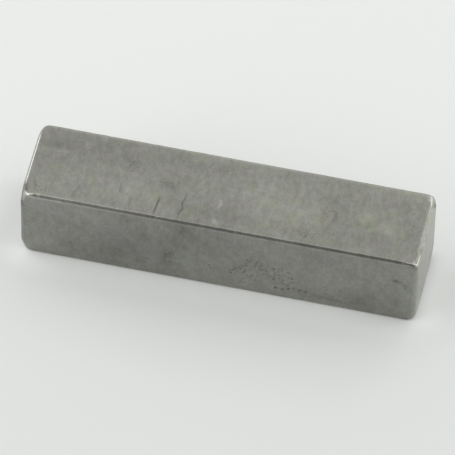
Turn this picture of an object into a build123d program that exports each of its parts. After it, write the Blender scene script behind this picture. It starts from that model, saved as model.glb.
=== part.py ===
import os

from build123d import *

# A parallel key, form B: a plain bar of square key steel, sawn and faced to length, with square
# ends and no hole, taper or thread. It was tumbled after cutting, so the edges of its two ends
# are rounded over and its four long edges, drawn with the bar, are only lightly broken.
#
# Millimetres. X runs along the key, Y across it and Z up, from the middle of its underside.

key_length = 22.0
key_width = 5.0
key_height = 5.0

# The four long edges.
long_edge_radius = 0.12
# The upright edges at the ends, seen from above.
end_corner_radius = 0.42
# The edges across the top and the underside at the ends, seen from the side.
end_nose_radius = 0.45


def key_core():
    # The key less its long-edge radius all round: its plan crossed with its side view.
    length = key_length - 2 * long_edge_radius
    width = key_width - 2 * long_edge_radius
    height = key_height - 2 * long_edge_radius
    plan = RectangleRounded(length, width, end_corner_radius - long_edge_radius)
    side = Plane.XZ * RectangleRounded(length, height, end_nose_radius - long_edge_radius)
    return extrude(plan, height / 2, both=True) & extrude(side, width / 2, both=True)


def key_solid():
    # Growing the core by the long-edge radius brings the key to size. It rolls the long edges
    # to that radius, and blends the seams where the end roundings meet.
    grown = offset(key_core().solid(), long_edge_radius, kind=Kind.ARC)
    return Pos(0, 0, key_height / 2) * grown


os.makedirs("parts", exist_ok=True)
export_step(key_solid(), "parts/parallel_key.step")
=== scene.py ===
import math

import bpy
import numpy as np
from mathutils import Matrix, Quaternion, Vector


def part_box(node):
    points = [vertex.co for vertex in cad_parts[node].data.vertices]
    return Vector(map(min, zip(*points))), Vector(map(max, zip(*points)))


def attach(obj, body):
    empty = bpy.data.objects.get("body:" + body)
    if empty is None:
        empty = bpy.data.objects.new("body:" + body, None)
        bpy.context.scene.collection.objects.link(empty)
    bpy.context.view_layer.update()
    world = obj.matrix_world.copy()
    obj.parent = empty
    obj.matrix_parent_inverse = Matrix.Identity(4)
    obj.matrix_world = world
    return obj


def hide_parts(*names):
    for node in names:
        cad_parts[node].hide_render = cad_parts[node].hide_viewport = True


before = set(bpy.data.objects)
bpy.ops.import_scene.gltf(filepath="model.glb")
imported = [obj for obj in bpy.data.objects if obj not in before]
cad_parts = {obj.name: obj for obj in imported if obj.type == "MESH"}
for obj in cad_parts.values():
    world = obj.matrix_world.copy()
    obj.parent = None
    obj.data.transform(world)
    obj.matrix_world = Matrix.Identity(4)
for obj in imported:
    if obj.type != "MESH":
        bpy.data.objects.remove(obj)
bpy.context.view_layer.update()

# ------------------------------------------------------------------------------------------
# The key
# A bar of square key steel, cold drawn to size, cut off square at both ends and tumbled with
# others. Its faces are dull and lightly stained, pitted and scored. Its long edges are still
# crisp, and the edges and corners of its ends are rolled over and worn shiny. Highlights on its
# edges and corners are partly painted into its colour, as are some painted light on its ends
# and painted shade on the left end's front rim.
# ------------------------------------------------------------------------------------------
MM = 0.001
key_low, key_high = (np.array(corner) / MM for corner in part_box("parallel_key"))
key_middle = (key_low + key_high) / 2
key_half = (key_high - key_low) / 2
left, front, under = key_low
right, back, top = key_high

# Radii in millimetres. Tumbling has worn each edge and corner by its own amount.
LONG_EDGE_RADII = {"front top": 0.19, "back top": 0.18, "front under": 0.14, "back under": 0.15}
# Two is a round edge, less is nearer to a flat bevel and more is nearer to square.
LONG_EDGE_FULLNESS = {"front top": 1.7, "back top": 2, "front under": 2, "back under": 2}
UPRIGHT_RADII = {"left front": 0.22, "left back": 0.40, "right front": 0.36, "right back": 0.41}
END_EDGE_RADII = {"left top": 0.28, "left under": 0.52, "right top": 0.28, "right under": 0.60}
CORNER_RADII = {
    "left front top": 0.64,
    "left back top": 0.50,
    "left front under": 0.58,
    "left back under": 0.50,
    "right front top": 0.34,
    "right back top": 0.44,
    "right front under": 0.50,
    "right back under": 0.80,
}
# How far an edge's radius takes to grow into its corner's, and how softly roundings meet there.
CORNER_SPREAD = 1.0
CORNER_BLEND = 0.18
LEAST_BLEND = 1e-6
# The ends were cut a little off square, so both lean to the left.
END_LEAN = 0.05
# All the rounding lies within this distance of the key's sides.
ROUNDED_REACH = 1.15


def eased(amount):
    """Zero to one with a gentle start and end."""
    amount = np.clip(amount, 0, 1)
    return amount * amount * (3 - 2 * amount)


def belonging(values, x, y, z):
    """Picks each point's value, from values that are named by the sides of the key they are for."""
    sides = {"left": x < 0, "right": x >= 0, "front": y < 0, "back": y >= 0, "top": z >= 0, "under": z < 0}
    chosen = 0
    for name, value in values.items():
        chosen = chosen + value * np.prod([sides[word] for word in name.split()], axis=0)
    return chosen


def outside(first, second, half_first, half_second, radius, fullness=2):
    """How far points lie outside a rectangle with rounded corners."""
    a = np.abs(first) - (half_first - radius)
    b = np.abs(second) - (half_second - radius)
    beyond = (np.maximum(a, 0) ** fullness + np.maximum(b, 0) ** fullness) ** (1 / fullness)
    return beyond + np.minimum(np.maximum(a, b), 0) - radius


def blended(first, second, blend):
    """The larger of two distances, with the crease between them rolled over."""
    near = np.maximum(blend - np.abs(first - second), 0)
    return np.maximum(first, second) + near**2 / (4 * blend)


def outside_key(points):
    """How far points lie outside the tumbled key: its plan, side view and section together."""
    x, y, z = (points - key_middle).T
    half_x, half_y, half_z = key_half
    to_side = eased((np.abs(y) - (half_y - CORNER_SPREAD)) / CORNER_SPREAD)
    to_top = eased((np.abs(z) - (half_z - CORNER_SPREAD)) / CORNER_SPREAD)
    corner = belonging(CORNER_RADII, x, y, z)
    upright = belonging(UPRIGHT_RADII, x, y, z)
    upright = upright + to_top * (corner - upright)
    nose = belonging(END_EDGE_RADII, x, y, z)
    nose = nose + to_side * (corner - nose)
    leant = np.abs(x) + END_LEAN * (1 - np.sign(x) * z / half_z) / 2
    plan = outside(leant, y, half_x, half_y, upright)
    side = outside(leant, z, half_x, half_z, nose)
    fullness = belonging(LONG_EDGE_FULLNESS, x, y, z)
    section = outside(y, z, half_y, half_z, belonging(LONG_EDGE_RADII, x, y, z), fullness)
    nearness = eased(1 - (key_half - np.abs(points - key_middle)) / ROUNDED_REACH).prod(axis=1)
    blend = LEAST_BLEND + CORNER_BLEND * nearness
    return blended(blended(plan, side, blend), section, blend)


# Places across a size where the spacing of its mesh lines is summed.
RULING_STEPS = 4001


def ruled(half, steps, spacing, closer=()):
    """Places of the mesh lines across a size: the steps in from each edge, then the spacing given,
    with lines closer together over some stretches. The number of gaps comes out even."""
    from_edge = np.concatenate([[0], np.cumsum(steps)])
    inner = half - from_edge[-1]
    places = np.linspace(-inner, inner, RULING_STEPS)
    gap = np.full(places.shape, spacing)
    for start, end, close in closer:
        gap[(places > start) & (places < end)] = close
    count = np.concatenate([[0], np.cumsum((1 / gap[1:] + 1 / gap[:-1]) / 2 * np.diff(places))])
    gaps = 2 * int(round(count[-1] / 2))
    middle = np.interp(np.linspace(0, count[-1], gaps + 1), count, places)[1:-1]
    return np.concatenate([from_edge - half, middle, (half - from_edge)[::-1]])


# The mesh is fine at the long edges and the ends, and coarser over the middles of the faces.
EDGE_STEPS = [0.03, 0.03, 0.03, 0.03, 0.04, 0.05, 0.06, 0.06]
END_STEPS = [0.03] * 10 + [0.05] * 14
FACE_SPACING = 0.071
# Stretches along the key with marks or pits, from its middle, with closer lines.
CLOSER_LINES = [(-5.9, -5.7, 0.035), (-3.75, -3.45, 0.03), (-2.42, -2.08, 0.03), (0.8, 4.9, 0.056)]
x_lines = ruled(key_half[0], END_STEPS, FACE_SPACING, CLOSER_LINES)
y_lines = ruled(key_half[1], EDGE_STEPS, FACE_SPACING)
z_lines = ruled(key_half[2], EDGE_STEPS, FACE_SPACING)
shape = (len(x_lines), len(y_lines), len(z_lines))
shell = np.zeros(shape, bool)
shell[[0, -1]] = shell[:, [0, -1]] = shell[:, :, [0, -1]] = True
number = np.full(shape, -1)
number[shell] = np.arange(shell.sum())
box_points = np.stack(np.meshgrid(x_lines, y_lines, z_lines, indexing="ij"), -1)[shell] + key_middle

# Each point of the box is drawn in towards the core until it meets the tumbled surface.
HALVINGS = 24
inner = key_half - ROUNDED_REACH
cores = key_middle + np.clip(box_points - key_middle, -inner, inner)
reach_low = np.zeros(len(box_points))
reach_high = np.ones(len(box_points))
for _ in range(HALVINGS):
    reach = (reach_low + reach_high) / 2
    is_out = outside_key(cores + reach[:, None] * (box_points - cores)) > 0
    reach_high = np.where(is_out, reach, reach_high)
    reach_low = np.where(is_out, reach_low, reach)
skin = cores + reach_low[:, None] * (box_points - cores)


def woven(sheet, flipped, hidden):
    """Faces over a sheet of numbered points. In the middle of a hidden sheet, which needs no
    small faces, each two by two of them is one face. It keeps the middle point of a side that it
    shares with small ones."""
    first_limit = sheet.shape[0] - 1 - len(END_STEPS)
    second_limit = sheet.shape[1] - 1 - len(EDGE_STEPS)

    def is_wide(i, j):
        in_first = len(END_STEPS) <= i < first_limit
        return hidden and in_first and len(EDGE_STEPS) <= j < second_limit

    faces = []
    for i in range(0, sheet.shape[0] - 1, 2):
        for j in range(0, sheet.shape[1] - 1, 2):
            if is_wide(i, j):
                ring = [sheet[i, j], sheet[i + 1, j], sheet[i + 2, j], sheet[i + 2, j + 1]]
                ring += [sheet[i + 2, j + 2], sheet[i + 1, j + 2], sheet[i, j + 2], sheet[i, j + 1]]
                beside = [(i, j - 2), (i + 2, j), (i, j + 2), (i - 2, j)]
                drop = [2 * side + 1 for side, block in enumerate(beside) if is_wide(*block)]
                faces.append([int(point) for spot, point in enumerate(ring) if spot not in drop])
                continue
            for a, b in ((i, j), (i + 1, j), (i, j + 1), (i + 1, j + 1)):
                ring = [sheet[a, b], sheet[a + 1, b], sheet[a + 1, b + 1], sheet[a, b + 1]]
                faces.append([int(point) for point in ring])
    return [face[::-1] for face in faces] if flipped else faces


# The box's shell has six sheets of points, one at each end of each axis. The key's back is at the
# far end of the second axis, and its underside at the near end of the third.
BACK_SHEET = (1, -1)
UNDER_SHEET = (2, 0)
faces = []
for axis in range(3):
    for end, flipped in ((0, axis != 1), (-1, axis == 1)):
        hidden = (axis, end) in (BACK_SHEET, UNDER_SHEET)
        faces += woven(number.take(end, axis=axis), flipped, hidden)
used = np.unique(np.concatenate([np.array(face) for face in faces]))
renumbered = np.full(len(skin), -1)
renumbered[used] = np.arange(len(used))
skin = skin[used]
faces = [renumbered[face].tolist() for face in faces]
key_mesh = bpy.data.meshes.new("key_bar")
key_mesh.from_pydata((skin * MM).tolist(), [], faces)
key_mesh.shade_smooth()
key = bpy.data.objects.new("key_bar", key_mesh)
bpy.context.scene.collection.objects.link(key)
normals = np.zeros(len(skin) * 3)
key_mesh.vertex_normals.foreach_get("vector", normals)
normals = normals.reshape(-1, 3)

# Where the surface is rolled over, and where the corners are worn to bright steel.
ROLLED_TURN = 0.05
rolled = eased((1 - np.abs(normals).max(axis=1)) / ROLLED_TURN)
WORN_FROM = 0.15
WORN_TO = 0.9
# The product of a normal's three parts is greatest where it points straight out of a corner.
CORNER_PRODUCT = 1 / math.sqrt(27)
cornered = np.abs(normals).prod(axis=1) / CORNER_PRODUCT
worn = eased((cornered - WORN_FROM) / (WORN_TO - WORN_FROM))

# What handling and tumbling have left: how deep the surface is sunk, how sooty it is, and how
# bright it is rubbed. Some of the soot is painted shade, and some of the rubbing is painted
# highlight.
sunk = np.zeros(len(skin))
soot_and_shade = np.zeros(len(skin))
scuff_and_highlight = np.zeros(len(skin))


def on_top(along, across):
    """A spot on the top face, from the left end and from the back edge."""
    return np.array([left + along, back - across, top])


def on_front(along, down):
    """A spot on the front face, from the left end and from the top edge."""
    return np.array([left + along, front, top - down])


def on_left(across, down):
    """A spot on the left end, from the front face and from the top edge."""
    return np.array([left, front + across, top - down])


def on_right(across, down):
    """A spot on the right end, the same way."""
    return np.array([right, front + across, top - down])


# Scores in the faces, each a line of spots with its half width, depth and darkness.
CROOKED_SCORE = [(8.81, 3.02), (8.79, 3.40), (8.71, 3.62), (8.81, 4.02), (8.71, 4.30), (8.69, 4.64)]
SCORES = [
    (on_top, [(7.46, 3.50), (7.42, 4.05), (7.35, 4.72)], 0.050, 0.015, 0.60),
    (on_top, CROOKED_SCORE, 0.045, 0.010, 0.42),
    (on_top, [(5.22, 3.05), (5.24, 3.40), (5.29, 3.75)], 0.045, 0.008, 0.30),
    (on_top, [(5.93, 3.95), (5.96, 4.25), (5.97, 4.55)], 0.045, 0.006, 0.25),
    (on_top, [(3.02, 3.66), (3.03, 3.98), (2.86, 4.30), (2.80, 4.62)], 0.045, 0.006, 0.25),
    (on_top, [(0.66, 3.95), (0.73, 4.30), (0.72, 4.62)], 0.040, 0.006, 0.25),
    (on_top, [(1.00, 4.05), (1.02, 4.52)], 0.040, 0.006, 0.16),
    (on_top, [(1.34, 4.10), (1.33, 4.66)], 0.040, 0.006, 0.22),
    (on_top, [(12.20, 4.30), (12.18, 4.78)], 0.040, 0.006, 0.18),
    (on_top, [(15.02, 1.98), (15.05, 2.34)], 0.040, 0.006, 0.18),
    (on_front, [(9.06, 0.35), (9.00, 0.90)], 0.050, 0.008, 0.20),
    (on_front, [(11.70, 3.45), (12.30, 2.80), (13.00, 2.05)], 0.060, 0.006, 0.20),
    (on_front, [(20.62, 1.62), (20.88, 1.66)], 0.110, 0.010, 0.45),
    (on_front, [(21.20, 1.85), (21.40, 2.00)], 0.120, 0.010, 0.25),
    (on_top, [(21.72, 4.10), (21.70, 4.60)], 0.050, 0.010, 0.35),
]
# Grime on the corners and the rims of the ends, the same way. The line down the left end's
# front rim is painted shade, for its dark outline.
GRIME_AND_SHADE = [
    (on_top, [(0.14, 4.15), (0.24, 4.90)], 0.130, 0.003, 1.00),
    (on_top, [(0.16, 4.42), (0.20, 4.58), (0.24, 4.76)], 0.150, 0.0, 1.10),
    (on_top, [(21.92, 4.14), (21.94, 3.70)], 0.100, 0.0, 0.60),
    (on_front, [(21.55, 0.10), (21.86, 0.14), (21.92, 0.50)], 0.070, 0.0, 0.80),
    (on_left, [(0.85, 0.04), (0.45, 0.05), (0.12, 0.08)], 0.240, 0.0, 0.90),
    (on_left, [(0.80, 0.15), (0.50, 0.30), (0.28, 0.42), (0.12, 0.80), (0.20, 1.40)], 0.170, 0.0, 0.85),
    # Painted shade: a dark line down the left end's front rim.
    (on_left, [(0.22, 0.8), (0.22, 5.0)], 0.070, 0.0, 0.35),
    (on_right, [(4.25, 0.10), (4.55, 0.35), (4.75, 0.80), (4.84, 1.40)], 0.100, 0.0, 0.90),
]
# How strong a stroke still is at its two ends.
SCORE_ENDS = 0.4
SCUFF_ENDS = 0.3


def beside_line(spots):
    """Each point's distance from a line of spots, and how near it lies to the line's middle."""
    lengths = np.linalg.norm(np.diff(spots, axis=0), axis=1)
    done = 0
    nearest = np.full(len(skin), np.inf)
    progress = np.zeros(len(skin))
    for start, step, length in zip(spots[:-1], np.diff(spots, axis=0), lengths):
        share = np.clip((skin - start) @ step / length**2, 0, 1)
        away = np.linalg.norm(skin - start - share[:, None] * step, axis=1)
        progress = np.where(away < nearest, (done + share * length) / lengths.sum(), progress)
        nearest = np.minimum(away, nearest)
        done += length
    return nearest, 1 - np.abs(2 * progress - 1)


def stroke(face, spots, half_width, end_strength):
    """A soft stroke: full on its line of spots, half at its half width and gone at twice that."""
    away, middling = beside_line(np.array([face(*spot) for spot in spots]))
    strength = end_strength + (1 - end_strength) * eased(2 * middling)
    return eased(1 - away / (2 * half_width)) * strength


for face, spots, half_width, depth, darkness in SCORES + GRIME_AND_SHADE:
    profile = stroke(face, spots, half_width, SCORE_ENDS)
    sunk = np.maximum(sunk, depth * profile)
    soot_and_shade = np.maximum(soot_and_shade, darkness * profile)

# Light scuffs on the faces, the same way, with their half width and brightness.
SCUFFS = [
    (on_top, [(10.58, 2.92), (10.72, 3.10), (10.74, 3.35), (10.62, 3.62)], 0.07, 0.55),
    (on_top, [(10.58, 4.40), (10.78, 4.60)], 0.11, 0.70),
    (on_top, [(12.20, 4.42), (12.24, 4.70)], 0.08, 0.35),
    (on_top, [(0.40, 1.74), (1.30, 1.68), (2.40, 1.60)], 0.08, 0.18),
    (on_top, [(19.72, 2.95), (20.05, 3.20)], 0.16, 0.30),
    (on_top, [(18.50, 2.35), (18.80, 2.15)], 0.14, 0.25),
    (on_top, [(2.80, 0.85), (2.82, 1.05)], 0.07, 0.30),
    (on_top, [(13.05, 2.30), (13.10, 2.60)], 0.12, 0.20),
    (on_top, [(5.60, 3.30), (5.75, 3.70)], 0.15, 0.25),
    (on_top, [(6.20, 2.60), (6.45, 3.05)], 0.10, 0.20),
    (on_front, [(21.35, 0.75), (21.40, 1.35)], 0.12, 0.20),
    (on_front, [(17.70, 4.05), (17.85, 4.15)], 0.08, 0.35),
]
# Bright strokes on the long edges, the rims of the ends and the corners: rubbed steel, painted
# brighter as the highlights and glints that fall there. A line may run past the key, so that it
# doesn't fade at its ends.
RUBBED_AND_HIGHLIGHTS = [
    (on_top, [(-4.0, 0.0), (26.0, 0.0)], 0.16, 0.85),
    (on_top, [(22.0, -1.0), (22.0, 6.0)], 0.20, 1.30),
    (on_top, [(21.50, 0.10), (21.70, 0.30), (21.78, 0.60)], 0.14, 1.00),
    (on_top, [(0.10, 4.80), (0.35, 4.90), (0.60, 4.93)], 0.11, 0.90),
    (on_top, [(21.60, 4.85), (21.85, 4.70), (21.90, 4.40)], 0.11, 0.90),
    (on_top, [(0.0, -1.0), (0.0, 6.0)], 0.18, 0.70),
    (on_front, [(22.0, -1.0), (22.0, 6.0)], 0.13, 0.85),
    (on_front, [(-4.0, 0.0), (8.0, 0.0)], 0.14, 0.50),
    (on_front, [(-6.0, 0.0), (28.0, 0.0)], 0.14, 0.14),
    (on_front, [(-2.0, 0.03), (3.6, 0.03)], 0.15, 0.80),
]
for face, spots, half_width, brightness in SCUFFS + RUBBED_AND_HIGHLIGHTS:
    scuff_and_highlight = np.maximum(scuff_and_highlight, brightness * stroke(face, spots, half_width, SCUFF_ENDS))

# Pits, one by one, with their radius and depth. The front's hold more soot than the top's.
PITS = [
    (on_front, 14.20, 4.22, 0.120, 0.050),
    (on_front, 14.57, 4.25, 0.110, 0.045),
    (on_front, 14.90, 4.12, 0.115, 0.045),
    (on_front, 15.20, 4.00, 0.075, 0.030),
    (on_front, 15.52, 4.06, 0.095, 0.040),
    (on_front, 15.88, 4.12, 0.085, 0.035),
    (on_front, 10.20, 2.32, 0.065, 0.035),
    (on_front, 10.50, 3.28, 0.055, 0.030),
    (on_front, 10.58, 3.50, 0.055, 0.030),
    (on_front, 10.46, 3.72, 0.045, 0.025),
    (on_front, 11.88, 3.05, 0.055, 0.030),
    (on_front, 11.84, 3.35, 0.050, 0.025),
    (on_front, 8.10, 3.05, 0.060, 0.020),
    (on_front, 8.35, 3.62, 0.055, 0.020),
    (on_front, 2.82, 3.55, 0.060, 0.025),
    (on_front, 21.30, 2.15, 0.050, 0.020),
    (on_top, 16.62, 2.42, 0.055, 0.030),
    (on_top, 16.95, 2.52, 0.050, 0.025),
    (on_top, 16.50, 2.78, 0.055, 0.028),
    (on_top, 16.82, 2.85, 0.050, 0.025),
    (on_top, 16.70, 2.62, 0.045, 0.025),
    (on_top, 15.66, 4.32, 0.065, 0.030),
    (on_top, 15.85, 4.50, 0.050, 0.025),
    (on_top, 15.45, 4.18, 0.045, 0.022),
    (on_top, 12.05, 1.08, 0.050, 0.025),
    (on_top, 10.90, 0.82, 0.060, 0.020),
    (on_top, 7.98, 2.70, 0.050, 0.020),
]
PIT_SOOT = {on_front: 1.0, on_top: 0.6}
pits = []
for face, along, across, radius, depth in PITS:
    pits.append((face(along, across), radius, depth, PIT_SOOT[face]))

# Patches of finer pits, with their middle, half length, half width and number.
PIT_PATCHES = [
    (on_front, 12.95, 2.85, 0.80, 0.75, 30),
    (on_front, 14.60, 3.05, 0.70, 0.80, 30),
    (on_front, 13.60, 3.55, 1.50, 0.45, 16),
    (on_front, 12.20, 3.75, 1.00, 0.55, 7),
    (on_front, 17.40, 3.90, 1.60, 0.50, 10),
    (on_top, 16.75, 2.65, 0.50, 0.40, 9),
    (on_top, 15.60, 4.25, 0.55, 0.35, 8),
    (on_top, 5.60, 1.80, 0.60, 0.45, 6),
    (on_top, 8.00, 2.60, 0.60, 0.50, 6),
    (on_top, 1.10, 4.20, 0.70, 0.40, 6),
]
FINE_PIT_RADII = (0.050, 0.080)
FINE_PIT_STEEPNESS = 0.45
FINE_PIT_SOOT = (0.50, 1.00)
FINE_PIT_SHARE = {on_front: 1.0, on_top: 0.6645}
CHANCE_SEED = 5
chance = np.random.default_rng(CHANCE_SEED)
for face, along, across, half_length, half_width, count in PIT_PATCHES:
    for _ in range(count):
        turn = chance.uniform(0, 2 * math.pi)
        spread = math.sqrt(chance.uniform(0, 1))
        further_along = half_length * spread * math.cos(turn)
        further_across = half_width * spread * math.sin(turn)
        spot = face(along + further_along, across + further_across)
        radius = chance.uniform(*FINE_PIT_RADII)
        darkness = chance.uniform(*FINE_PIT_SOOT) * FINE_PIT_SHARE[face]
        pits.append((spot, radius, FINE_PIT_STEEPNESS * radius, darkness))

# Single pits and shallow dents anywhere, and nicks in the long edges.
LONE_PITS = 150
LONE_PIT_RADII = (0.04, 0.06)
LONE_PIT_DEPTH = 0.010
LONE_PIT_SOOT = (0.1, 0.35)
DENTS = 260
DENT_RADII = (0.08, 0.24)
DENT_STEEPNESS = 0.05
NICKS_PER_EDGE = 14
NICK_RADII = (0.08, 0.15)
NICK_STEEPNESS = 0.16
NICKS_CLEAR_OF_END = 0.5
for _ in range(LONE_PITS):
    spot = skin[chance.integers(len(skin))]
    radius = chance.uniform(*LONE_PIT_RADII)
    pits.append((spot, radius, LONE_PIT_DEPTH, chance.uniform(*LONE_PIT_SOOT)))
for _ in range(DENTS):
    radius = chance.uniform(*DENT_RADII)
    pits.append((skin[chance.integers(len(skin))], radius, DENT_STEEPNESS * radius, 0.0))
for side in (front, back):
    for level in (under, top):
        for _ in range(NICKS_PER_EDGE):
            along = chance.uniform(left + NICKS_CLEAR_OF_END, right - NICKS_CLEAR_OF_END)
            radius = chance.uniform(*NICK_RADII)
            pits.append((np.array([along, side, level]), radius, NICK_STEEPNESS * radius, 0.0))
for middle, radius, depth, darkness in pits:
    near = np.flatnonzero(np.abs(skin[:, 0] - middle[0]) < radius)
    profile = eased(1 - np.linalg.norm(skin[near] - middle, axis=1) / radius)
    sunk[near] = np.maximum(sunk[near], depth * profile)
    soot_and_shade[near] = np.maximum(soot_and_shade[near], darkness * profile)

# Stains, with their middle, reach along and across, turn in degrees and darkness, or lightness
# where it is below zero. The light strip along the back top edge is a painted highlight.
STAINS_AND_SHEEN = [
    (on_front, 8.15, 3.10, 0.24, 0.45, 10, 0.95),
    (on_front, 8.25, 3.30, 0.55, 1.00, 10, 0.35),
    (on_front, 9.35, 0.85, 0.50, 0.55, 20, 0.75),
    (on_front, 8.60, 1.60, 0.60, 0.90, 25, 0.45),
    (on_front, 6.80, 1.80, 0.60, 0.60, 0, 0.70),
    (on_front, 6.00, 3.10, 1.30, 0.80, -20, 0.45),
    (on_front, 4.20, 4.00, 1.50, 0.50, 0, 0.25),
    (on_front, 2.60, 3.70, 0.80, 0.60, 0, 0.35),
    (on_front, 12.00, 3.10, 0.70, 0.35, -45, 0.35),
    (on_front, 11.90, 4.10, 0.60, 0.35, 0, 0.35),
    (on_front, 15.90, 4.15, 0.90, 0.30, 0, 0.75),
    (on_front, 17.20, 4.40, 1.00, 0.22, 0, 0.95),
    (on_front, 18.60, 4.15, 1.50, 0.40, -8, 0.60),
    (on_front, 19.40, 3.50, 1.60, 0.70, -10, 0.48),
    (on_front, 20.85, 1.70, 0.35, 0.30, 25, 0.40),
    (on_front, 20.90, 2.80, 0.70, 0.90, 0, 0.30),
    (on_front, 12.50, 0.80, 2.60, 0.60, 0, -0.35),
    (on_front, 3.50, 0.80, 3.00, 0.60, 0, -0.25),
    (on_front, 15.50, 2.30, 2.00, 0.70, 0, -0.25),
    (on_front, 9.90, 3.20, 0.60, 1.00, 10, -0.25),
    (on_top, 2.80, 0.80, 2.40, 0.70, 0, 0.45),
    (on_top, 1.40, 1.35, 1.30, 0.20, -4, 0.50),
    (on_top, 0.80, 2.20, 0.90, 0.30, 0, 0.30),
    (on_top, 5.50, 1.50, 0.55, 0.55, 0, 0.35),
    (on_top, 7.75, 2.65, 0.55, 0.38, 20, 0.75),
    (on_top, 8.60, 3.90, 0.90, 0.40, 20, 0.40),
    (on_top, 10.70, 0.70, 0.70, 0.35, -20, 0.55),
    (on_top, 9.90, 1.20, 0.60, 0.35, 0, 0.30),
    (on_top, 11.00, 3.90, 1.30, 0.40, 0, 0.30),
    (on_top, 14.80, 4.20, 1.20, 0.40, 0, 0.45),
    (on_top, 16.70, 2.65, 0.60, 0.50, 0, 0.12),
    (on_top, 20.40, 1.10, 1.10, 0.45, 10, 0.65),
    (on_top, 21.00, 2.60, 0.40, 0.80, 0, 0.30),
    (on_top, 19.40, 3.90, 1.20, 0.60, 0, 0.25),
    (on_top, 13.20, 2.00, 2.20, 1.20, 0, -0.40),
    (on_top, 15.20, 2.60, 0.90, 0.70, 0, -0.45),
    (on_top, 16.30, 0.90, 1.60, 0.50, 0, -0.35),
    (on_top, 5.00, 3.40, 1.20, 0.60, 0, -0.25),
    # Painted highlight: a light strip along the back top edge.
    (on_top, 11.00, 0.20, 9.00, 0.45, 0, -0.35),
    (on_top, 18.50, 2.35, 0.60, 0.50, 0, -0.50),
    (on_top, 19.80, 2.90, 0.45, 0.40, 0, -0.60),
]
# Yellowish films, the same way, or a bluer steel where the amount is below zero.
FILMS = [
    (on_top, 17.50, 2.50, 4.50, 2.50, 0, 0.45),
    (on_top, 15.20, 4.20, 1.50, 0.50, 0, 0.50),
    (on_top, 18.90, 2.60, 1.10, 0.50, 15, 0.80),
    (on_top, 7.50, 3.90, 2.50, 0.50, 0, 0.40),
    (on_top, 2.00, 1.00, 2.50, 1.00, 0, -0.50),
    (on_top, 10.50, 3.10, 1.50, 0.60, 0, -0.35),
    (on_top, 17.50, 3.20, 1.50, 0.40, 0, -0.40),
    (on_top, 15.00, 2.40, 1.00, 0.50, 0, -0.60),
    (on_top, 4.00, 2.90, 0.90, 0.50, 0, -0.50),
    (on_top, 5.60, 1.70, 0.50, 0.40, 0, -0.60),
    (on_top, 19.80, 2.90, 0.50, 0.35, 0, 0.70),
    (on_front, 11.80, 1.00, 2.00, 0.80, 0, -0.35),
    (on_front, 5.10, 2.00, 0.70, 0.90, 0, -1.20),
    (on_front, 18.50, 3.80, 2.50, 0.80, 0, 0.70),
    (on_front, 8.90, 4.00, 0.80, 0.50, 0, 0.60),
    (on_front, 1.50, 1.00, 0.60, 0.70, 0, -0.70),
    (on_front, 1.80, 3.40, 0.70, 0.70, 0, -0.60),
    (on_front, 3.60, 1.60, 0.60, 0.90, 0, 0.50),
    (on_front, 7.00, 0.80, 0.50, 0.50, 0, -0.60),
    (on_front, 16.70, 2.40, 0.60, 0.90, 0, -0.60),
    (on_front, 8.60, 2.20, 0.40, 0.90, 20, -0.40),
    (on_front, 20.40, 1.00, 0.90, 0.60, 0, 0.50),
    (on_front, 0.60, 4.10, 0.60, 0.50, 0, 0.60),
]
# A patch fades within this distance of its face, so it doesn't reach round the edges.
PATCH_THICKNESS = 0.4


def patches(places):
    """The sum of soft round patches at the key's points."""
    total = np.zeros(len(skin))
    for face, along, across, reach_along, reach_across, turn, amount in places:
        offset = skin - face(along, across)
        up = face(0, 0) - face(0, 1)
        higher = offset @ up
        away = offset[:, 1] + offset[:, 2] - higher
        cos_turn = math.cos(math.radians(turn))
        sin_turn = math.sin(math.radians(turn))
        first = (offset[:, 0] * cos_turn - higher * sin_turn) / reach_along
        second = (offset[:, 0] * sin_turn + higher * cos_turn) / reach_across
        total += amount * np.exp(-(first**2) - second**2 - (away / PATCH_THICKNESS) ** 2)
    return total


stain_and_sheen = patches(STAINS_AND_SHEEN)
film = patches(FILMS)

# The drawn faces aren't quite true: shallow waves run over them, only ever inwards.
WAVES = 6
WAVE_DEPTH = 0.0008
WAVE_LENGTHS = (1.0, 4.0)
for _ in range(WAVES):
    heading = chance.normal(size=3)
    heading *= 2 * math.pi / chance.uniform(*WAVE_LENGTHS) / np.linalg.norm(heading)
    sunk += WAVE_DEPTH * (1 + np.sin(skin @ heading + chance.uniform(0, 2 * math.pi)))
worn_skin = skin - normals * sunk[:, None]
key_mesh.vertices.foreach_set("co", (worn_skin * MM).astype(np.float32).ravel())
key_mesh.update()
marks = {"rolled": rolled, "worn": worn, "soot_and_shade": soot_and_shade, "scuff_and_highlight": scuff_and_highlight, "stain_and_sheen": stain_and_sheen, "film": film}
for name, values in marks.items():
    layer = key_mesh.attributes.new(name, "FLOAT", "POINT")
    layer.data.foreach_set("value", values.astype(np.float32))


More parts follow.
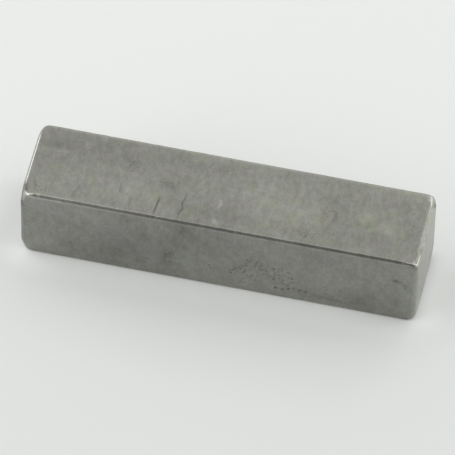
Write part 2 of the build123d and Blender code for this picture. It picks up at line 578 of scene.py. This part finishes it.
class Wire:
    """A value in a node tree. Arithmetic on it adds the Math nodes that work it out."""

    def __init__(self, tree, socket=None):
        self.tree = tree
        self.socket = socket

    def node(self, kind, settings=(), inputs=(), output=0):
        """Adds a node with its settings, links or fills its inputs, and gives one of its outputs."""
        made = self.tree.nodes.new("ShaderNode" + kind)
        for name, value in dict(settings).items():
            setattr(made, name, value)
        for name, value in dict(inputs).items():
            if isinstance(value, Wire):
                self.tree.links.new(value.socket, made.inputs[name])
            else:
                made.inputs[name].default_value = value
        return Wire(self.tree, made.outputs[output])

    def feeds(self, shader, name):
        """Links this value to a shader's socket."""
        self.tree.links.new(self.socket, shader.inputs[name])

    def maths(self, operation, *others):
        """Works this value out with the others, if the operation takes more than one."""
        return self.node("Math", {"operation": operation}, enumerate((self, *others)))

    def __add__(self, other):
        return self.maths("ADD", other)

    def __sub__(self, other):
        return self.maths("SUBTRACT", other)

    def __rsub__(self, other):
        return self.node("Math", {"operation": "SUBTRACT"}, {0: other, 1: self})

    def __mul__(self, other):
        return self.maths("MULTIPLY", other)

    __radd__ = __add__
    __rmul__ = __mul__

    def between(self, low, high):
        """Eases from 0 at the low value to 1 at the high one."""
        settings = {"interpolation_type": "SMOOTHSTEP"}
        return self.node("MapRange", settings, {"Value": self, "From Min": low, "From Max": high})

    def mixed(self, first, second, blend_type="MIX"):
        """Goes from the first colour to the second as this value goes from 0 to 1."""
        settings = {"data_type": "RGBA", "blend_type": blend_type}
        return self.node("Mix", settings, {0: self, 6: first, 7: second}, 2)


DARK_STEEL = (0.172, 0.173, 0.166, 1)
LIGHT_STEEL = (0.408, 0.413, 0.396, 1)
OLIVE_FILM = (0.94, 1.0, 0.87, 1)
YELLOW_FILM = (0.99, 1.0, 0.86, 1)
ROSE_FILM = (1.0, 0.955, 0.99, 1)
SOOT_AND_SHADE_COLOUR = (0.035, 0.034, 0.030, 1)
BARE_STEEL_AND_HIGHLIGHT = (0.60, 0.60, 0.55, 1)
steel = bpy.data.materials.new("tumbled_key_steel")
steel.use_nodes = True
shader = steel.node_tree.nodes["Principled BSDF"]
shader.inputs["Metallic"].default_value = 1
bench = Wire(steel.node_tree)
place = bench.node("TexCoord", output="Object")
NOISE_MEAN = 0.5


def cloud(size, detail, roughness, stretch=(1, 1, 1)):
    """Cloudy noise about zero, whose largest lumps are about the size in millimetres."""
    per_metre = [share / (size * MM) for share in stretch]
    stretched = bench.node("VectorMath", {"operation": "MULTIPLY"}, {0: place, 1: per_metre})
    settings = {"Vector": stretched, "Scale": 1, "Detail": detail, "Roughness": roughness}
    return bench.node("TexNoise", {}, settings) - NOISE_MEAN


def marked(name):
    """One of the key's own marks, from its mesh."""
    return bench.node("Attribute", {"attribute_name": name}, {}, "Fac")


# The colour runs between dark and light steel, with a fine mottling, a broad one, and a streaky
# one on the sawn ends.
HALFWAY = 0.5
MOTTLE = 1.0
DRIFT = 0.60
SAWN_MOTTLE = 2.0
STAIN_AND_SHEEN_DEPTH = 0.25
TOP_FACING = (0.5, 1.0)
END_FACING = (0.7, 1.0)
normal = bench.node("NewGeometry", output="Normal")
facing_up = bench.node("SeparateXYZ", {}, {"Vector": normal}, "Z")
facing_end = bench.node("SeparateXYZ", {}, {"Vector": normal}, "X")
at_top = facing_up.between(*TOP_FACING)
at_end = facing_end.maths("ABSOLUTE").between(*END_FACING)
mottle = cloud(size=0.34, detail=3, roughness=0.9, stretch=(1, 0.6, 0.6)) * MOTTLE
drift = cloud(size=4.5, detail=2, roughness=0.4) * DRIFT
streaks = cloud(size=0.6, detail=5, roughness=0.75, stretch=(1, 1, 0.3)) * SAWN_MOTTLE
tone = HALFWAY + mottle + drift + at_end * streaks - marked("stain_and_sheen") * STAIN_AND_SHEEN_DEPTH
colour = tone.mixed(DARK_STEEL, LIGHT_STEEL)

# Thin films of old oil tint the steel in patches. The olive one is strongest on the top.
FILM_MOTTLE = 4.6
FILM_DEPTH = 0.30
OLIVE_ON_TOP = 0.25
OLIVE_ELSEWHERE = 0.05
YELLOW_EVERYWHERE = 0.25
filmed = marked("film") * FILM_DEPTH
olive = cloud(size=0.7, detail=4, roughness=0.85) * FILM_MOTTLE + OLIVE_ELSEWHERE + at_top * OLIVE_ON_TOP
yellow = filmed + YELLOW_EVERYWHERE
rose = cloud(size=1.0, detail=4, roughness=0.85) * FILM_MOTTLE + HALFWAY - filmed
colour = olive.mixed(colour, OLIVE_FILM, "MULTIPLY")
colour = yellow.mixed(colour, YELLOW_FILM, "MULTIPLY")
colour = rose.mixed(colour, ROSE_FILM, "MULTIPLY")

# Bare steel shows in broken scuffs and in the painted highlights of the edges and corners, a
# little on the sawn ends, where it also lightens them as painted light, and fully on the worn
# corners. Soot lies over everything, with the painted shade on the left end's front rim.
SCUFF_BREAKS = 1.5
SCUFF_SHARE = 0.6
SAWN_SHINE = 0.42
broken = cloud(size=0.3, detail=4, roughness=0.8) * SCUFF_BREAKS + SCUFF_SHARE
# Painted highlights along the edges and corners come in here with the scuffs.
colour = (marked("scuff_and_highlight") * broken).mixed(colour, BARE_STEEL_AND_HIGHLIGHT)
# Painted light: the sawn ends are lightened for the light they catch, besides their bare steel.
colour = (at_end * SAWN_SHINE).mixed(colour, BARE_STEEL_AND_HIGHLIGHT)
colour = marked("worn").mixed(colour, BARE_STEEL_AND_HIGHLIGHT)
# Part of the soot is painted shade on the left end's front rim.
colour = marked("soot_and_shade").mixed(colour, SOOT_AND_SHADE_COLOUR)
colour.feeds(shader, "Base Color")

# Rolled edges and worn corners are shinier than the faces, and soot is duller.
STEEL_ROUGHNESS = 0.40
ROLLED_ROUGHNESS = 0.21
ROUGHNESS_MOTTLE = 0.30
SOOT_ROUGHENS = 0.35
shiny = marked("rolled").maths("MAXIMUM", marked("worn"))
rough = STEEL_ROUGHNESS + cloud(size=0.9, detail=6, roughness=0.8) * ROUGHNESS_MOTTLE
rough = rough - shiny * (STEEL_ROUGHNESS - ROLLED_ROUGHNESS) + marked("soot_and_shade") * SOOT_ROUGHENS
rough.feeds(shader, "Roughness")

# The drawn steel's fine grain is too small for the mesh.
GRAIN_STRENGTH = 0.12
GRAIN_HEIGHT = 0.004
grain = cloud(size=0.22, detail=5, roughness=0.8)
bumps = {"Height": grain, "Strength": GRAIN_STRENGTH, "Distance": GRAIN_HEIGHT * MM}
bench.node("Bump", {}, bumps).feeds(shader, "Normal")
key_mesh.materials.append(steel)
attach(key, "root")
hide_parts("parallel_key")

# ------------------------------------------------------------------------------------------
# The table
# A sheet of pale grey paper, matt all over. Its colour is darkened towards the front as painted
# shade, for light that falls off from the back, and made paler at the foot of the key's front
# and right end as painted light, for the light that the steel throws down there.
# ------------------------------------------------------------------------------------------
PAPER_REACH = 3000.0
PAPER_BACK = (0.788, 0.803, 0.798, 1)
PAPER_FRONT_SHADED = (0.719, 0.733, 0.728, 1)
PAPER_ROUGHNESS = 0.9
PAPER_GLOSS = 0.2
# Each pair is where a shade begins and where it is full, in millimetres from the key's middle.
# Painted shade: the paper darkens towards the front.
SHADED_TOWARDS_FRONT = (8.0, -16.0)
# How much paler the painted light makes the paper at the foot, how far out that fades, and its
# shift to the right.
PAINTED_LIGHT_PAPER = (1.23, 1.23, 1.23, 1)
PAINTED_LIGHT_WITHIN = 1.9
PAINTED_LIGHT_SHIFT = 0.4
FRONT_FOOT_DEPTH = (1.5, -2.0)
FRONT_FOOT_ACROSS = (14.0, 6.0)
RIGHT_FOOT_ACROSS = (10.5, 11.5)
RIGHT_FOOT_BACK = (2.8, 1.4)
RIGHT_FOOT_FRONT = (-3.5, -1.5)
RIGHT_FOOT_SHARE = 0.6
reach = PAPER_REACH * MM
corners = [(-reach, -reach, 0), (reach, -reach, 0), (reach, reach, 0), (-reach, reach, 0)]
floor_mesh = bpy.data.meshes.new("floor")
floor_mesh.from_pydata(corners, [], [(0, 1, 2, 3)])
floor = bpy.data.objects.new("floor", floor_mesh)
bpy.context.scene.collection.objects.link(floor)
paper = bpy.data.materials.new("pale_paper")
paper.use_nodes = True
paper_shader = paper.node_tree.nodes["Principled BSDF"]
desk = Wire(paper.node_tree)
spot = desk.node("TexCoord", output="Object")
across = desk.node("SeparateXYZ", {}, {"Vector": spot}, "X") * (1 / MM)
depth = desk.node("SeparateXYZ", {}, {"Vector": spot}, "Y") * (1 / MM)
past_end = ((across - PAINTED_LIGHT_SHIFT).maths("ABSOLUTE") - key_half[0]).maths("MAXIMUM", 0)
past_side = (depth.maths("ABSOLUTE") - key_half[1]).maths("MAXIMUM", 0)
away = (past_end * past_end + past_side * past_side).maths("SQRT")
front_foot = depth.between(*FRONT_FOOT_DEPTH) * across.between(*FRONT_FOOT_ACROSS)
right_foot = depth.between(*RIGHT_FOOT_BACK) * depth.between(*RIGHT_FOOT_FRONT)
right_foot = right_foot * across.between(*RIGHT_FOOT_ACROSS) * RIGHT_FOOT_SHARE
# Painted light: the paper is paler at the foot of the key's front and right end.
painted_light = away.between(PAINTED_LIGHT_WITHIN, 0) * (front_foot + right_foot)
colour = depth.between(*SHADED_TOWARDS_FRONT).mixed(PAPER_BACK, PAPER_FRONT_SHADED)
colour = painted_light.mixed(colour, PAINTED_LIGHT_PAPER, "MULTIPLY")
colour.feeds(paper_shader, "Base Color")
paper_shader.inputs["Roughness"].default_value = PAPER_ROUGHNESS
paper_shader.inputs["Specular IOR Level"].default_value = PAPER_GLOSS
floor_mesh.materials.append(paper)

# ------------------------------------------------------------------------------------------
# The light
# A plain bright room, brighter behind the key than before it, with a dark stretch high in front,
# where whoever looks at the key stands. A long softbox is low on each side. A square one stands
# in front on the left and a small one behind on the right, and two hang high up.
# ------------------------------------------------------------------------------------------
ROOM_FRONT = (0.555, 0.555, 0.54, 1)
ROOM_BACK = (0.83, 0.83, 0.81, 1)
ROOM_DARK = (0.25, 0.25, 0.245, 1)
ROOM_TURN = 0.3
DARK_ELEVATION = 55
DARK_FACING = (0.62, 0.88)
DARK_ASIDE = (0.30, 0.12)
world = bpy.data.worlds.new("room")
bpy.context.scene.world = world
world.use_nodes = True
room = Wire(world.node_tree)
direction = room.node("TexCoord", output="Generated")
tilt = math.radians(DARK_ELEVATION)
dark_centre = (0, -math.cos(tilt), math.sin(tilt))
facing = room.node("VectorMath", {"operation": "DOT_PRODUCT"}, {0: direction, 1: dark_centre}, "Value")
sideways = room.node("SeparateXYZ", {}, {"Vector": direction}, "X")
backwards = room.node("SeparateXYZ", {}, {"Vector": direction}, "Y")
shaded = facing.between(*DARK_FACING) * sideways.maths("ABSOLUTE").between(*DARK_ASIDE)
plain = backwards.between(-ROOM_TURN, ROOM_TURN).mixed(ROOM_FRONT, ROOM_BACK)
light = shaded.mixed(plain, ROOM_DARK)
light.feeds(world.node_tree.nodes["Background"], "Color")

# Each softbox's bearing clockwise from straight behind and its elevation, in degrees, its length
# and height in metres, and its brightness. The distance is in metres too.
SOFTBOXES = {
    "left": (-74, 16, 0.40, 0.15, 2.0),
    "front left": (-128, 25, 0.20, 0.20, 1.9),
    "right": (84, 26, 0.36, 0.20, 1.35),
    "back right": (22, 38, 0.10, 0.10, 1.8),
    "upper left": (-90, 62, 0.20, 0.20, 1.4),
    "upper right": (90, 76, 0.20, 0.20, 1.5),
}
SOFTBOX_DISTANCE = 0.4
for side, (bearing, elevation, length, height, brightness) in SOFTBOXES.items():
    lamp_data = bpy.data.lights.new(side + "_softbox", "AREA")
    lamp_data.shape = "RECTANGLE"
    lamp_data.size = length
    lamp_data.size_y = height
    lamp_data.energy = brightness * math.pi * length * height
    lamp = bpy.data.objects.new(side + "_softbox", lamp_data)
    bpy.context.scene.collection.objects.link(lamp)
    turn = math.radians(bearing)
    rise = math.radians(elevation)
    out = Vector((math.sin(turn) * math.cos(rise), math.cos(turn) * math.cos(rise), math.sin(rise)))
    lamp.location = out * SOFTBOX_DISTANCE
    lamp.rotation_mode = "QUATERNION"
    lamp.rotation_quaternion = out.to_track_quat("Z", "Y")

# ------------------------------------------------------------------------------------------
# The camera
# It looks down on the key from the front and a little from the right, from well back.
# ------------------------------------------------------------------------------------------
CAMERA_AZIMUTH = math.radians(12.43)
CAMERA_ELEVATION = math.radians(52.65)
CAMERA_ROLL = math.radians(0.5)
CAMERA_DISTANCE = 367.2
AIM_BESIDE_KEY = (0.048, -0.372, 0)
SENSOR_WIDTH = 36
LENS = 537.5
NEAREST_SEEN = 10
FARTHEST_SEEN = 20000
camera_data = bpy.data.cameras.new("camera")
camera_data.sensor_width = SENSOR_WIDTH
camera_data.lens = LENS
camera_data.clip_start = NEAREST_SEEN * MM
camera_data.clip_end = FARTHEST_SEEN * MM
camera = bpy.data.objects.new("camera", camera_data)
bpy.context.scene.collection.objects.link(camera)
flat = math.cos(CAMERA_ELEVATION)
to_right = math.sin(CAMERA_AZIMUTH) * flat
to_back = -math.cos(CAMERA_AZIMUTH) * flat
to_camera = Vector((to_right, to_back, math.sin(CAMERA_ELEVATION)))
aim = Vector(key_middle) + Vector(AIM_BESIDE_KEY)
camera.location = (aim + to_camera * CAMERA_DISTANCE) * MM
camera.rotation_mode = "QUATERNION"
camera.rotation_quaternion = (-to_camera).to_track_quat("-Z", "Y") @ Quaternion((0, 0, 1), CAMERA_ROLL)
bpy.context.scene.camera = camera
bpy.context.scene.view_settings.view_transform = "Standard"
